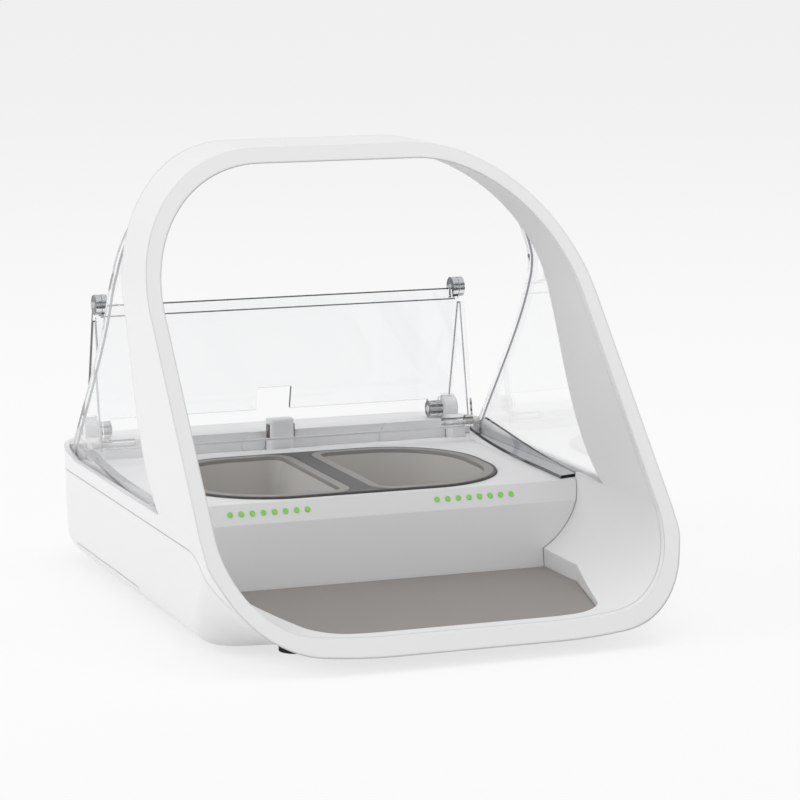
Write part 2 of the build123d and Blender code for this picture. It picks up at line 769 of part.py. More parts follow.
# The wall that carries a track's inner edge
def track_web():
    x = track_inner_x
    crest = Spline([(x, y, low - track_wall - track_seat) for y, low, high in track_line])
    start = crest @ 0
    end = crest @ 1
    foot = deck_z - deck_wall / 2
    rest = Polyline((end.X, end.Y, end.Z), (x, end.Y, foot), (x, start.Y, foot), (start.X, start.Y, start.Z))
    return extrude(face_of([crest, rest]), amount=track_wall, dir=(1, 0, 0))


def rear_cover():
    side = block_inner_x - deck_gap
    top = box((-far / 2, far / 2), (housing_front_y, far), (housing_z - cover_wall, housing_z))
    top = top & tub(wall + deck_gap / 3)
    top -= both_sides(block_envelope(deck_gap, 0))
    front_y = (housing_front_y, housing_front_y + cover_wall)
    front = box((-side, side), front_y, (gutter_z - cover_wall, housing_z))
    outer = box((block_outer_x + deck_gap, far / 2), front_y, (deck_z, housing_z))
    front += both_sides(outer & tub(wall + deck_gap / 3))
    gutter_y = (deck_rear_y + deck_gap, housing_front_y + cover_wall)
    gutter = box((-side, side), gutter_y, (gutter_z - cover_wall, gutter_z))
    return top + front + gutter


def wall_caps():
    y = (housing_front_y - cap_height, housing_front_y)
    above = box((-far / 2, far / 2), y, (gutter_z, far))
    return [rod_y(x, y, cap_z, cap_radius) & above for x in cap_places]


def sensor_post():
    body = box((-post_half_width, post_half_width), (post_front_y, housing_front_y), (gutter_z, post_top_z))
    upright = [edge for edge in body.edges().filter_by(Axis.Z) if edge.center().Y < post_front_y + 1]
    body = fillet(upright, post_round)
    body = fillet(body.faces().sort_by(Axis.Z)[-1].edges(), post_round * 0.6)
    for lens in sensor_lenses():
        body -= lens
    return body


def sensor_lenses():
    y = (post_front_y + housing_front_y) / 2
    depth = 1.2
    right = box((post_half_width - depth, post_half_width + lens_proud),
                (y - lens_width / 2, y + lens_width / 2), (lens_z - lens_height / 2, lens_z + lens_height / 2))
    return [right, mirror(right, about=Plane.YZ)]


# Side outline of a pivot housing: a block with a round boss about the pivot
def block_envelope(grow, low):
    fall = tan(radians(closed_slope))
    front = block_front_y - grow
    top = pivot_z - block_drop + grow
    points = [(front, low), (front, top - (pivot_y - front) * fall), (pivot_y, top), (block_rear_y + grow, top),
              (block_rear_y + grow, low)]
    block = along_x(points, block_inner_x - grow, block_outer_x + grow)
    boss = rod_x((block_inner_x - grow, block_outer_x + grow), pivot_y, pivot_z, block_boss + grow)
    return (block + boss) & tub_footprint_solid(wall + deck_gap - grow)


def tub_footprint_solid(inset):
    return extrude(tub_footprint(wall_top, inset, blend_rear_y), amount=far / 4, dir=(0, 0, 1)) + extrude(
        tub_footprint(wall_top, inset, blend_rear_y), amount=far / 4, dir=(0, 0, -1))


def pivot_housing(side):
    outer = block_envelope(0, deck_z)
    trim = box((block_inner_x + block_wall, block_outer_x - block_wall), (-far, far), (-far, far))
    inner = block_envelope(-block_wall, 0) & trim
    body = outer - inner
    if side > 0:
        motor_y, motor_z = pinion_place()
        mount = box((block_inner_x, block_inner_x + block_wall),
                    (block_front_y + 2, pivot_y + 4), (motor_z - motor_height, deck_z + 1))
        body += mount
        body -= rod_x((0, far), motor_y, motor_z, motor_shaft + 0.4)
    body -= rod_x((0, far), pivot_y, pivot_z, pivot_pin + pin_fit)
    return body if side > 0 else mirror(body, about=Plane.YZ)


# Gears
def gear_places():
    pivot = (pivot_y, pivot_z)
    reach = gear_module * (lid_gear_teeth + idler_teeth) / 2
    idler = (pivot[0] - reach * cos(radians(idler_angle)), pivot[1] - reach * sin(radians(idler_angle)))
    return pivot, idler


def pinion_place():
    idler = gear_places()[1]
    reach = gear_module * (idler_teeth + pinion_teeth) / 2
    return idler[0] - reach * sin(radians(pinion_angle)), idler[1] - reach * cos(radians(pinion_angle))


# A spur gear across X. The turn sets where its first tooth stands, from +Y toward +Z.
def spur_gear(place, teeth, bore, turn, x):
    pitch = gear_module * teeth / 2
    radii = [pitch - 1.25 * gear_module, pitch, pitch + gear_module]
    half = pi / (2 * teeth)
    slack = gear_backlash / 2 / pitch
    widths = [half * 1.45 - slack, half - slack, half * 0.5 - slack]
    points = []
    for tooth in range(teeth):
        centre = radians(turn) + 2 * pi * tooth / teeth
        flank = [(radii[n], -widths[n]) for n in range(3)] + [(radii[n], widths[n]) for n in (2, 1, 0)]
        points += [(place[0] + r * cos(centre + a), place[1] + r * sin(centre + a)) for r, a in flank]
    blank = along_x(points, x[0], x[1])
    return blank - rod_x((x[0] - 9, x[1] + 9), place[0], place[1], bore)


def gear_span():
    low = block_inner_x + block_wall + gear_side_gap
    return low, low + gear_width


# Meshing turns: a tooth of one gear faces a gap of the next along the line of centres
def gear_set():
    pivot, idler = gear_places()
    pinion = pinion_place()
    to_idler = degrees(atan2(idler[1] - pivot[1], idler[0] - pivot[0]))
    to_pinion = degrees(atan2(pinion[1] - idler[1], pinion[0] - idler[0]))
    idler_turn = to_idler + 180 + 180 / idler_teeth
    step = 360 / idler_teeth
    phase = ((to_pinion - idler_turn) / step) % 1
    pinion_turn = to_pinion + 180 + (phase + 0.5) * 360 / pinion_teeth
    x = gear_span()
    lid_gear = spur_gear(pivot, lid_gear_teeth, pivot_pin, to_idler, x)
    idler_gear = spur_gear(idler, idler_teeth, idler_pin + pin_fit, idler_turn, x)
    motor_pinion = spur_gear(pinion, pinion_teeth, motor_shaft, pinion_turn, x)
    return lid_gear, idler_gear, motor_pinion


def gear_motor():
    y, z = pinion_place()
    return box((block_inner_x - motor_length, block_inner_x),
               (y - motor_depth / 2, y + motor_depth / 2), (z - motor_height / 2, z + motor_height / 2))


def pinion_shaft():
    y, z = pinion_place()
    return rod_x((block_inner_x + 0.05, gear_span()[1] + 0.5), y, z, motor_shaft)


# Batteries
def battery_cells():
    cells = []
    for side in (-1, 1):
        for n in range(2):
            y = battery_front_y + n * battery_length
            cell = rod_y(side * battery_x, (y, y + battery_length - battery_nub_height), battery_z, battery_radius)
            nub = rod_y(side * battery_x, (y + battery_length - battery_nub_height - 1, y + battery_length),
                        battery_z, battery_nub)
            cells.append(cell + nub)
    return cells


def battery_box():
    inner = battery_radius + box_gap
    outer = inner + box_wall
    end = contact_gap + contact_thickness
    y = (battery_front_y - end, battery_front_y + 2 * battery_length + end)
    low = base_z + wall
    def channel(radius, span):
        return rod_y(battery_x, span, battery_z, radius) + box(
            (battery_x - radius, battery_x + radius), span, (low, battery_z))
    body = channel(outer, (y[0] - box_wall, y[1] + box_wall)) - channel(inner, y)
    body -= box((0, far), (-far, far), (-far, low))
    return body & tub(wall)


def battery_contacts():
    plates = []
    end = contact_gap + contact_thickness
    for side in (-1, 1):
        x = side * battery_x
        front = battery_front_y - end
        back = battery_front_y + 2 * battery_length + end
        plates.append(rod_y(x, (front, front + contact_thickness), battery_z, battery_nub * 2))
        plates.append(rod_y(x, (back - contact_thickness, back), battery_z, battery_nub * 2))
    return plates


# Buttons
def wall_back_y(z, inset=0.0):
    return wall_x(z, inset) - half_width + rear_y


def back_button(x):
    outer = wall_back_y(button_z)
    inner = wall_back_y(button_z - button_flange, wall)
    cap = rod_y(x, (inner - 3.0, outer + button_stand), button_z, button_radius)
    flange = rod_y(x, (inner - 1.6, inner - 0.4), button_z, button_flange)
    return cap + flange


def button_board():
    x = (button_places[0] - pillar_offset - 3, button_places[-1] + pillar_offset + 3)
    half = button_board_height / 2
    board = box(x, (button_board_y, button_board_y + board_thickness), (button_z - half, button_z + half))
    return board


def button_switches():
    y = button_board_y + board_thickness
    half = switch_size / 2
    return [box((x - half, x + half), (y, y + switch_height), (button_z - half, button_z + half)) for x in button_places]


def button_pillars():
    pillars = []
    for x in (button_places[0] - pillar_offset, button_places[-1] + pillar_offset):
        pillars.append(rod_y(x, (button_board_y + board_thickness, rear_y), button_z, pillar_radius) & tub(wall))
    return pillars


# Boards, coil, feet and screws
def main_board():
    return box((-main_board_half, main_board_half), (main_board_y, main_board_y + board_thickness),
               (main_board_low, main_board_high))


def antenna_loop():
    outer = wall + coil_gap
    inner = hoop_depth - liner - coil_gap
    ring = (tunnel(outer) - tunnel(inner)) & face_slice(coil_setback, coil_setback + coil_width)
    return ring & box((-far / 2, far / 2), (-far, far), (coil_foot_z, far))


def rubber_feet():
    return [rod_z(x, y, (0, 14), foot_radius) - tub(0) for x, y in foot_places]


def case_screws():
    head_low = base_z + counterbore + screw_gap
    screws = []
    for x, y in screw_places:
        head = rod_z(x, y, (head_low, head_low + 2 - 0.02), screw_head)
        shank = rod_z(x, y, (head_low + 1, head_low + screw_length), screw_shank)
        screws.append(head + shank)
    return screws


# Assembly: each entry is one node, with its solids
def group(shapes):
    return Compound(children=list(shapes))


def write(name, shape):
    export_step(shape, "parts/" + name + ".step")


def main():
    os.makedirs("parts", exist_ok=True)
    write("lower_shell", lower_shell())
    write("upper_body", upper_body())
    write("tunnel_liner", tunnel_liner())
    right_window = side_window()
    write("side_window_right", right_window)
    write("side_window_left", mirror(right_window, about=Plane.YZ))
    write("bowl_deck", bowl_deck())
    write("floor_mat", floor_mat())
    write("rear_cover", rear_cover())
    write("wall_caps", group(wall_caps()))
    write("sensor_post", sensor_post())
    write("sensor_lenses", group(sensor_lenses()))
    write("pivot_housing_right", pivot_housing(1))
    write("pivot_housing_left", pivot_housing(-1))
    track = lid_track()
    write("lid_track_right", track)
    write("lid_track_left", mirror(track, about=Plane.YZ))
    write("bowl_tray", bowl_tray())
    right_bowl = bowl()
    write("bowl_right", right_bowl)
    write("bowl_left", mirror(right_bowl, about=Plane.YZ))
    platform = weigh_platform()
    write("weigh_platforms", group([platform, mirror(platform, about=Plane.YZ)]))
    cell = load_cell()
    write("load_cells", group([cell, mirror(cell, about=Plane.YZ)]))
    write("lid_rear_panel", lid_rear_panel())
    write("lid_front_panel", lid_front_panel())
    fold = rod_x((lid_half_width - 2 * fold_knuckle_length - knuckle_gap, lid_half_width), fold_y, fold_z, fold_pin)
    write("lid_fold_pins", group([fold, mirror(fold, about=Plane.YZ)]))
    slide = rod_x((lid_half_width - slide_boss_length, slide_pin_end), slide_y, slide_z, slide_pin)
    write("lid_slide_pins", group([slide, mirror(slide, about=Plane.YZ)]))
    barrel_low = block_inner_x - knuckle_gap - pivot_barrel_length
    write("lid_drive_shaft", rod_x((barrel_low, block_outer_x - 0.5), pivot_y, pivot_z, pivot_pin))
    write("lid_pivot_pin", rod_x((0.5 - block_outer_x, -barrel_low), pivot_y, pivot_z, pivot_pin))
    lid_gear, idler_gear, motor_pinion = gear_set()
    write("lid_gear", lid_gear)
    write("idler_gear", idler_gear)
    write("motor_pinion", motor_pinion)
    write("pinion_shaft", pinion_shaft())
    idler = gear_places()[1]
    idler_x = (block_inner_x + block_wall, block_outer_x - block_wall)
    write("idler_axle", rod_x(idler_x, idler[0], idler[1], idler_pin))
    write("gear_motor", gear_motor())
    write("light_pipes", group(light_pipes()))
    write("light_board", light_board())
    write("main_board", main_board())
    write("antenna_loop", antenna_loop())
    write("battery_cells", group(battery_cells()))
    write("battery_contacts", group(battery_contacts()))
    bay = battery_box()
    write("battery_box_right", bay)
    write("battery_box_left", mirror(bay, about=Plane.YZ))
    door = battery_door()
    write("battery_door_right", door)
    write("battery_door_left", mirror(door, about=Plane.YZ))
    for number, x in enumerate(button_places):
        write("back_button_" + str(number + 1), back_button(x))
    write("button_board", button_board())
    write("button_switches", group(button_switches()))
    write("button_pillars", group(button_pillars()))
    write("rubber_feet", group(rubber_feet()))
    write("case_screws", group(case_screws()))


print("lid turns", round(lid_turn, 3), "and its fold", round(fold_turn, 3), "degrees")
print("fold ratio", round(fold_turn / lid_turn, 4))
main()
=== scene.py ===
from math import radians

import bpy
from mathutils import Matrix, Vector


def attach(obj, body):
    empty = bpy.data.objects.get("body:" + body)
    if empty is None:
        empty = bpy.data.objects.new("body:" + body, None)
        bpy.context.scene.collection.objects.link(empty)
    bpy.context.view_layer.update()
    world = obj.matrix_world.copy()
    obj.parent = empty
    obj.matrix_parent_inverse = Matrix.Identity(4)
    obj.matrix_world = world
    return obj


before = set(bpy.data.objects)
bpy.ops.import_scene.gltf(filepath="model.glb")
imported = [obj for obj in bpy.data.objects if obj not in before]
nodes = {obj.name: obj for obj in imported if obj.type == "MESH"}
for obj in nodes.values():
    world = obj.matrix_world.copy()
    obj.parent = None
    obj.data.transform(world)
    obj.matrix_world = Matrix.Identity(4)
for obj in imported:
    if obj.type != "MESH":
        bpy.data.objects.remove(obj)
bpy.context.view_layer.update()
print("frame loaded with", len(nodes), "nodes")


def addNode(tree, kind, place=(0, 0), **values):
    node = tree.nodes.new(kind)
    node.location = place
    for key, value in values.items():
        setattr(node, key, value)
    return node


def newGroup(name, inputs, outputs):
    group = bpy.data.node_groups.new(name, "ShaderNodeTree")
    for label, kind, value in inputs:
        socket = group.interface.new_socket(name=label, in_out="INPUT", socket_type=kind)
        socket.default_value = value
    for label, kind in outputs:
        group.interface.new_socket(name=label, in_out="OUTPUT", socket_type=kind)
    source = addNode(group, "NodeGroupInput", (-800, 0))
    result = addNode(group, "NodeGroupOutput", (600, 0))
    return group, source, result


def newMaterial(name, viewport):
    material = bpy.data.materials.new(name)
    material.use_nodes = True
    material.diffuse_color = viewport
    tree = material.node_tree
    shader = tree.nodes["Principled BSDF"]
    return material, tree, shader


def useGroup(tree, group, place, **values):
    node = addNode(tree, "ShaderNodeGroup", place, node_tree=group)
    for key, value in values.items():
        node.inputs[key].default_value = value
    return node


# fine moulded surface: grain, softened edges and a slow, faint shade in the colour
def makeMouldedGrain():
    group, source, result = newGroup("mouldedGrain", [
        ("Grain Size", "NodeSocketFloat", 900.0),
        ("Drift Size", "NodeSocketFloat", 9.0),
        ("Drift", "NodeSocketFloat", 0.015),
        ("Color", "NodeSocketColor", (0.8, 0.8, 0.8, 1)),
        ("Bump", "NodeSocketFloat", 0.05),
        ("Edge Radius", "NodeSocketFloat", 0.0008),
    ], [("Color", "NodeSocketColor"), ("Normal", "NodeSocketVector")])
    coords = addNode(group, "ShaderNodeTexCoord", (-800, -300))
    grain = addNode(group, "ShaderNodeTexNoise", (-500, -300))
    grain.inputs["Detail"].default_value = 2
    drift = addNode(group, "ShaderNodeTexNoise", (-500, 100))
    drift.inputs["Detail"].default_value = 3
    spread = addNode(group, "ShaderNodeMath", (-250, 100), operation="SUBTRACT")
    spread.inputs[1].default_value = 0.5
    amount = addNode(group, "ShaderNodeMath", (-80, 100), operation="MULTIPLY")
    lift = addNode(group, "ShaderNodeMath", (80, 100), operation="ADD")
    lift.inputs[1].default_value = 1.0
    shade = addNode(group, "ShaderNodeVectorMath", (300, 100), operation="SCALE")
    softEdge = addNode(group, "ShaderNodeBevel", (-250, -500), samples=4)
    bump = addNode(group, "ShaderNodeBump", (100, -300))
    bump.inputs["Distance"].default_value = 0.0002
    link = group.links.new
    link(coords.outputs["Object"], grain.inputs["Vector"])
    link(coords.outputs["Object"], drift.inputs["Vector"])
    link(source.outputs["Grain Size"], grain.inputs["Scale"])
    link(source.outputs["Drift Size"], drift.inputs["Scale"])
    link(drift.outputs[0], spread.inputs[0])
    link(spread.outputs[0], amount.inputs[0])
    link(source.outputs["Drift"], amount.inputs[1])
    link(amount.outputs[0], lift.inputs[0])
    link(source.outputs["Color"], shade.inputs[0])
    link(lift.outputs[0], shade.inputs["Scale"])
    link(shade.outputs["Vector"], result.inputs["Color"])
    link(source.outputs["Edge Radius"], softEdge.inputs["Radius"])
    link(softEdge.outputs["Normal"], bump.inputs["Normal"])
    link(grain.outputs[0], bump.inputs["Height"])
    link(source.outputs["Bump"], bump.inputs["Strength"])
    link(bump.outputs["Normal"], result.inputs["Normal"])
    return group


# faint rubbed patches that change the roughness a little
def makeHandling():
    group, source, result = newGroup("handling", [
        ("Roughness", "NodeSocketFloat", 0.3),
        ("Spread", "NodeSocketFloat", 0.08),
        ("Size", "NodeSocketFloat", 22.0),
    ], [("Roughness", "NodeSocketFloat")])
    coords = addNode(group, "ShaderNodeTexCoord", (-800, -200))
    patch = addNode(group, "ShaderNodeTexNoise", (-550, -200))
    patch.inputs["Detail"].default_value = 4
    patch.inputs["Distortion"].default_value = 0.6
    centre = addNode(group, "ShaderNodeMath", (-300, -200), operation="SUBTRACT")
    centre.inputs[1].default_value = 0.5
    scale = addNode(group, "ShaderNodeMath", (-100, -200), operation="MULTIPLY")
    total = addNode(group, "ShaderNodeMath", (150, 0), operation="ADD", use_clamp=True)
    link = group.links.new
    link(coords.outputs["Object"], patch.inputs["Vector"])
    link(source.outputs["Size"], patch.inputs["Scale"])
    link(patch.outputs[0], centre.inputs[0])
    link(centre.outputs[0], scale.inputs[0])
    link(source.outputs["Spread"], scale.inputs[1])
    link(scale.outputs[0], total.inputs[0])
    link(source.outputs["Roughness"], total.inputs[1])
    link(total.outputs[0], result.inputs["Roughness"])
    return group


mouldedGrain = makeMouldedGrain()
handling = makeHandling()

# what a finish has where it doesn't say otherwise
moulded = dict(
    ior=1.48,
    grainSize=900,
    bump=0.05,
    drift=0.02,
    edge=0.0008,  # radius of the softened edges
)


# one moulded plastic, rubber or metal finish
def makeMoulded(name, finish):
    color = (*finish["color"], 1)
    material, tree, shader = newMaterial(name, color)
    link = tree.links.new
    grain = useGroup(tree, mouldedGrain, (-700, 200), Color=color)
    grain.inputs["Grain Size"].default_value = finish.get("grainSize", moulded["grainSize"])
    grain.inputs["Drift"].default_value = finish.get("drift", moulded["drift"])
    rub = useGroup(tree, handling, (-700, -100), Roughness=finish["roughness"])
    grain.inputs["Bump"].default_value = finish.get("bump", moulded["bump"])
    grain.inputs["Edge Radius"].default_value = finish.get("edge", moulded["edge"])
    link(grain.outputs["Color"], shader.inputs["Base Color"])
    link(rub.outputs["Roughness"], shader.inputs["Roughness"])
    link(grain.outputs["Normal"], shader.inputs["Normal"])
    shader.inputs["IOR"].default_value = moulded["ior"]
    if "metallic" in finish:
        shader.inputs["Metallic"].default_value = finish["metallic"]
    return material


finishes = {
    "shellWhite": dict(color=(0.91, 0.912, 0.918), roughness=0.30, bump=0.02, drift=0.01, edge=0.0014),
    "innerWhite": dict(color=(0.88, 0.882, 0.888), roughness=0.42, bump=0.04, drift=0.012),
    "matGrey": dict(color=(0.30, 0.28, 0.268), roughness=0.62, bump=0.25, grainSize=1400, drift=0.05),
    "bowlGrey": dict(color=(0.56, 0.545, 0.525), roughness=0.38, bump=0.04, drift=0.03),
    "trayGrey": dict(color=(0.085, 0.083, 0.082), roughness=0.45, bump=0.05),
    "gearWhite": dict(color=(0.78, 0.78, 0.75), roughness=0.4),
    "innerBlack": dict(color=(0.02, 0.02, 0.022), roughness=0.5),
    "boardGreen": dict(color=(0.02, 0.10, 0.045), roughness=0.35, drift=0.2),
    "copper": dict(color=(0.62, 0.30, 0.14), roughness=0.35, metallic=1.0),
    "cellSkin": dict(color=(0.05, 0.05, 0.06), roughness=0.28),
    "footRubber": dict(color=(0.03, 0.03, 0.03), roughness=0.75, bump=0.3),
    "buttonGrey": dict(color=(0.35, 0.35, 0.35), roughness=0.45),
    "steel": dict(color=(0.55, 0.55, 0.55), roughness=0.3, metallic=1.0, drift=0.06),
}
made = {name: makeMoulded(name, finish) for name, finish in finishes.items()}

seam = dict(
    height=0.0467,  # above the floor
    half=0.00016,  # half the hairline's width
    front=-0.088,  # no hairline forward of this
    shade=0.42,
)


# dark hairline where the two shells meet along the sides and the back
def addSeamLine(material):
    tree = material.node_tree
    link = tree.links.new
    shader = tree.nodes["Principled BSDF"]
    plain = shader.inputs["Base Color"].links[0].from_socket
    coords = addNode(tree, "ShaderNodeTexCoord", (-1200, 500))
    parts = addNode(tree, "ShaderNodeSeparateXYZ", (-1000, 500))
    above = addNode(tree, "ShaderNodeMath", (-800, 500), operation="COMPARE")
    above.inputs[1].default_value = seam["height"]
    above.inputs[2].default_value = seam["half"]
    behind = addNode(tree, "ShaderNodeMath", (-800, 650), operation="GREATER_THAN")
    behind.inputs[1].default_value = seam["front"]
    both = addNode(tree, "ShaderNodeMath", (-600, 600), operation="MULTIPLY")
    mix = addNode(tree, "ShaderNodeMix", (-250, 400), data_type="RGBA")
    mix.inputs["B"].default_value = (seam["shade"], seam["shade"], seam["shade"], 1)
    link(coords.outputs["Object"], parts.inputs[0])
    link(parts.outputs["Z"], above.inputs[0])
    link(parts.outputs["Y"], behind.inputs[0])
    link(above.outputs[0], both.inputs[0])
    link(behind.outputs[0], both.inputs[1])
    link(both.outputs[0], mix.inputs["Factor"])
    link(plain, mix.inputs["A"])
    link(mix.outputs["Result"], shader.inputs["Base Color"])


addSeamLine(made["shellWhite"])

# painted shade for the bowls' rims
bowlRimPaintedShade = dict(
    rimHeight=0.0492,  # the flat rim lies above this
    rim=(0.27, 0.26, 0.25),
)


# painted shade: the bowls' flat rims, above a set height, are painted darker than their insides
def addPaintedRimShade(material):
    tree = material.node_tree
    link = tree.links.new
    shader = tree.nodes["Principled BSDF"]
    plain = shader.inputs["Base Color"].links[0].from_socket
    coords = addNode(tree, "ShaderNodeTexCoord", (-1200, 500))
    parts = addNode(tree, "ShaderNodeSeparateXYZ", (-1000, 500))
    above = addNode(tree, "ShaderNodeMath", (-800, 500), operation="GREATER_THAN")
    above.inputs[1].default_value = bowlRimPaintedShade["rimHeight"]
    mix = addNode(tree, "ShaderNodeMix", (-250, 400), data_type="RGBA")
    # painted shade on the rims
    mix.inputs["B"].default_value = (*bowlRimPaintedShade["rim"], 1)
    link(coords.outputs["Object"], parts.inputs[0])
    link(parts.outputs["Z"], above.inputs[0])
    link(above.outputs[0], mix.inputs["Factor"])
    link(plain, mix.inputs["A"])
    link(mix.outputs["Result"], shader.inputs["Base Color"])


addPaintedRimShade(made["bowlGrey"])


acrylic = dict(
    viewport=(0.9, 0.93, 0.95, 0.3),
    face=(0.985, 0.99, 0.992),
    roughness=0.015,
    rubbing=0.02,
    ior=1.35,
    lampLight=0.92,  # share of the lamps' light that passes
)


# clear acrylic whose cut edges, the faces that don't share the sheet's facing, get painted shade: a darker
# colour standing in for the dark lines that refraction draws along them;
# a facing is measured in the world, so it holds for a lid panel only where the lid is at rest
def makeClear(name, facings, paintedEdgeShade, edgeStart=0.55, edgeEnd=0.85, faceColor=acrylic["face"]):
    material, tree, shader = newMaterial(name, acrylic["viewport"])
    link = tree.links.new
    geometry = addNode(tree, "ShaderNodeNewGeometry", (-1200, 0))
    best = None
    for number, facing in enumerate(facings):
        dot = addNode(tree, "ShaderNodeVectorMath", (-1000, -160 * number), operation="DOT_PRODUCT")
        dot.inputs[1].default_value = Vector(facing).normalized()
        size = addNode(tree, "ShaderNodeMath", (-820, -160 * number), operation="ABSOLUTE")
        link(geometry.outputs["True Normal"], dot.inputs[0])
        link(dot.outputs["Value"], size.inputs[0])
        if best is None:
            best = size
        else:
            larger = addNode(tree, "ShaderNodeMath", (-640, -160 * number), operation="MAXIMUM")
            link(best.outputs[0], larger.inputs[0])
            link(size.outputs[0], larger.inputs[1])
            best = larger
    ramp = addNode(tree, "ShaderNodeMapRange", (-450, 0))
    ramp.inputs["From Min"].default_value = edgeStart
    ramp.inputs["From Max"].default_value = edgeEnd
    # painted shade on the cut edges, pale on the broad faces
    mix = addNode(tree, "ShaderNodeMix", (-250, 100), data_type="RGBA")
    mix.inputs["A"].default_value = (*paintedEdgeShade, 1)
    mix.inputs["B"].default_value = (*faceColor, 1)
    rub = useGroup(tree, handling, (-450, -300), Roughness=acrylic["roughness"])
    rub.inputs["Spread"].default_value = acrylic["rubbing"]
    link(best.outputs[0], ramp.inputs["Value"])
    link(ramp.outputs["Result"], mix.inputs["Factor"])
    link(mix.outputs["Result"], shader.inputs["Base Color"])
    link(rub.outputs["Roughness"], shader.inputs["Roughness"])
    path = addNode(tree, "ShaderNodeLightPath", (-700, -500))
    letThrough = addNode(tree, "ShaderNodeMath", (-450, -500), operation="MULTIPLY_ADD")
    letThrough.inputs[1].default_value = -acrylic["lampLight"]
    letThrough.inputs[2].default_value = 1.0
    link(path.outputs["Is Shadow Ray"], letThrough.inputs[0])
    link(letThrough.outputs[0], shader.inputs["Alpha"])
    shader.inputs["Transmission Weight"].default_value = 1.0
    shader.inputs["IOR"].default_value = acrylic["ior"]
    return material


# the direction that a lid panel's broad faces look in at rest
def panelFacing(low, high):
    run = Vector((0, high[0] - low[0], high[1] - low[1]))
    return run.cross(Vector((1, 0, 0)))


# the lid's axes, as depth and height
lid = {"pivot": (0.1285, 0.0625), "fold": (0.1137, 0.1276), "slide": (0.0998, 0.0604)}
lidFacings = [panelFacing(lid["pivot"], lid["fold"]), panelFacing(lid["slide"], lid["fold"])]
# the edge colours here are painted shade on the clear parts' cut edges
windowTones = dict(facing=(1, 0, 0.02), edge=(0.30, 0.31, 0.33))
lidTones = dict(edge=(0.25, 0.26, 0.28), edgeStart=0.90, edgeEnd=0.97)
trackTones = dict(facing=(-0.4, 0, 0.9), edge=(0.22, 0.23, 0.24), face=(0.66, 0.67, 0.68))
made["windowClear"] = makeClear("windowClear", [windowTones["facing"]], windowTones["edge"])
made["lidClear"] = makeClear(
    "lidClear", lidFacings, lidTones["edge"], lidTones["edgeStart"], lidTones["edgeEnd"])
made["trackClear"] = makeClear(
    "trackClear", [trackTones["facing"]], trackTones["edge"], faceColor=trackTones["face"])


lightTones = dict(
    viewport=(0.35, 0.75, 0.2, 1),
    dark=(0.16, 0.48, 0.06),
    pale=(0.30, 0.66, 0.12),
    cloudSize=700,
    glow=0.25,
    roughness=0.3,
)


# clouded green plastic, faintly lit from behind
def makeLight():
    material, tree, shader = newMaterial("lightGreen", lightTones["viewport"])
    link = tree.links.new
    coords = addNode(tree, "ShaderNodeTexCoord", (-700, 0))
    cloud = addNode(tree, "ShaderNodeTexNoise", (-500, 0))
    cloud.inputs["Scale"].default_value = lightTones["cloudSize"]
    ramp = addNode(tree, "ShaderNodeValToRGB", (-300, 0))
    ramp.color_ramp.elements[0].color = (*lightTones["dark"], 1)
    ramp.color_ramp.elements[1].color = (*lightTones["pale"], 1)
    link(coords.outputs["Object"], cloud.inputs["Vector"])
    link(cloud.outputs[0], ramp.inputs["Fac"])
    link(ramp.outputs["Color"], shader.inputs["Base Color"])
    link(ramp.outputs["Color"], shader.inputs["Emission Color"])
    shader.inputs["Emission Strength"].default_value = lightTones["glow"]
    shader.inputs["Roughness"].default_value = lightTones["roughness"]
    return material


lensTones = dict(viewport=(0.1, 0.02, 0.02, 1), color=(0.055, 0.012, 0.012), roughness=0.12)


# glossy dark red window of the sensors
def makeLens():
    material, tree, shader = newMaterial("lensDark", lensTones["viewport"])
    link = tree.links.new
    rub = useGroup(tree, handling, (-400, 0), Roughness=lensTones["roughness"])
    grain = useGroup(tree, mouldedGrain, (-400, 300), Color=(*lensTones["color"], 1))
    link(grain.outputs["Color"], shader.inputs["Base Color"])
    link(rub.outputs["Roughness"], shader.inputs["Roughness"])
    return material


made["lightGreen"] = makeLight()
made["lensDark"] = makeLens()
print("materials made:", len(made))

# which finish each piece has; the pieces that aren't named here are steel
finishOf = {
    "lower_shell": "shellWhite", "upper_body": "shellWhite", "battery_door_left": "shellWhite",
    "battery_door_right": "shellWhite", "tunnel_liner": "innerWhite", "bowl_deck": "innerWhite",
    "rear_cover": "innerWhite", "wall_caps": "innerWhite", "sensor_post": "innerWhite",
    "pivot_housing_left": "innerWhite", "pivot_housing_right": "innerWhite", "button_pillars": "innerWhite",
    "sensor_lenses": "lensDark", "floor_mat": "matGrey", "bowl_left": "bowlGrey", "bowl_right": "bowlGrey",
    "bowl_tray": "trayGrey", "side_window_left": "windowClear", "side_window_right": "windowClear",
    "lid_rear_panel": "lidClear", "lid_front_panel": "lidClear", "lid_track_left": "trackClear",
    "lid_track_right": "trackClear", "light_pipes": "lightGreen", "rubber_feet": "footRubber",
    "lid_gear": "gearWhite", "idler_gear": "gearWhite", "motor_pinion": "gearWhite",
    "lid_slide_pins": "gearWhite", "gear_motor": "innerBlack", "battery_box_left": "innerBlack",
    "battery_box_right": "innerBlack", "button_switches": "innerBlack", "light_board": "boardGreen",
    "main_board": "boardGreen", "button_board": "boardGreen", "antenna_loop": "copper",
    "battery_cells": "cellSkin", "back_button_1": "buttonGrey", "back_button_2": "buttonGrey",
    "back_button_3": "buttonGrey",
}
for name, node in nodes.items():
    finish = made[finishOf.get(name, "steel")]
    for place in node.material_slots:
        place.material = finish
print("finishes set")

lidLines = dict(
    halfWidth=0.0935,
    lipRadius=0.0006,
    lipPast=0.0027,  # beyond the slide pins' axis
    lipSink=0.0022,
    hingeRadius=0.00035,
    hingeDrop=0.006,  # below the fold's axis
    hingeRise=0.0018,
    steps=8,
)
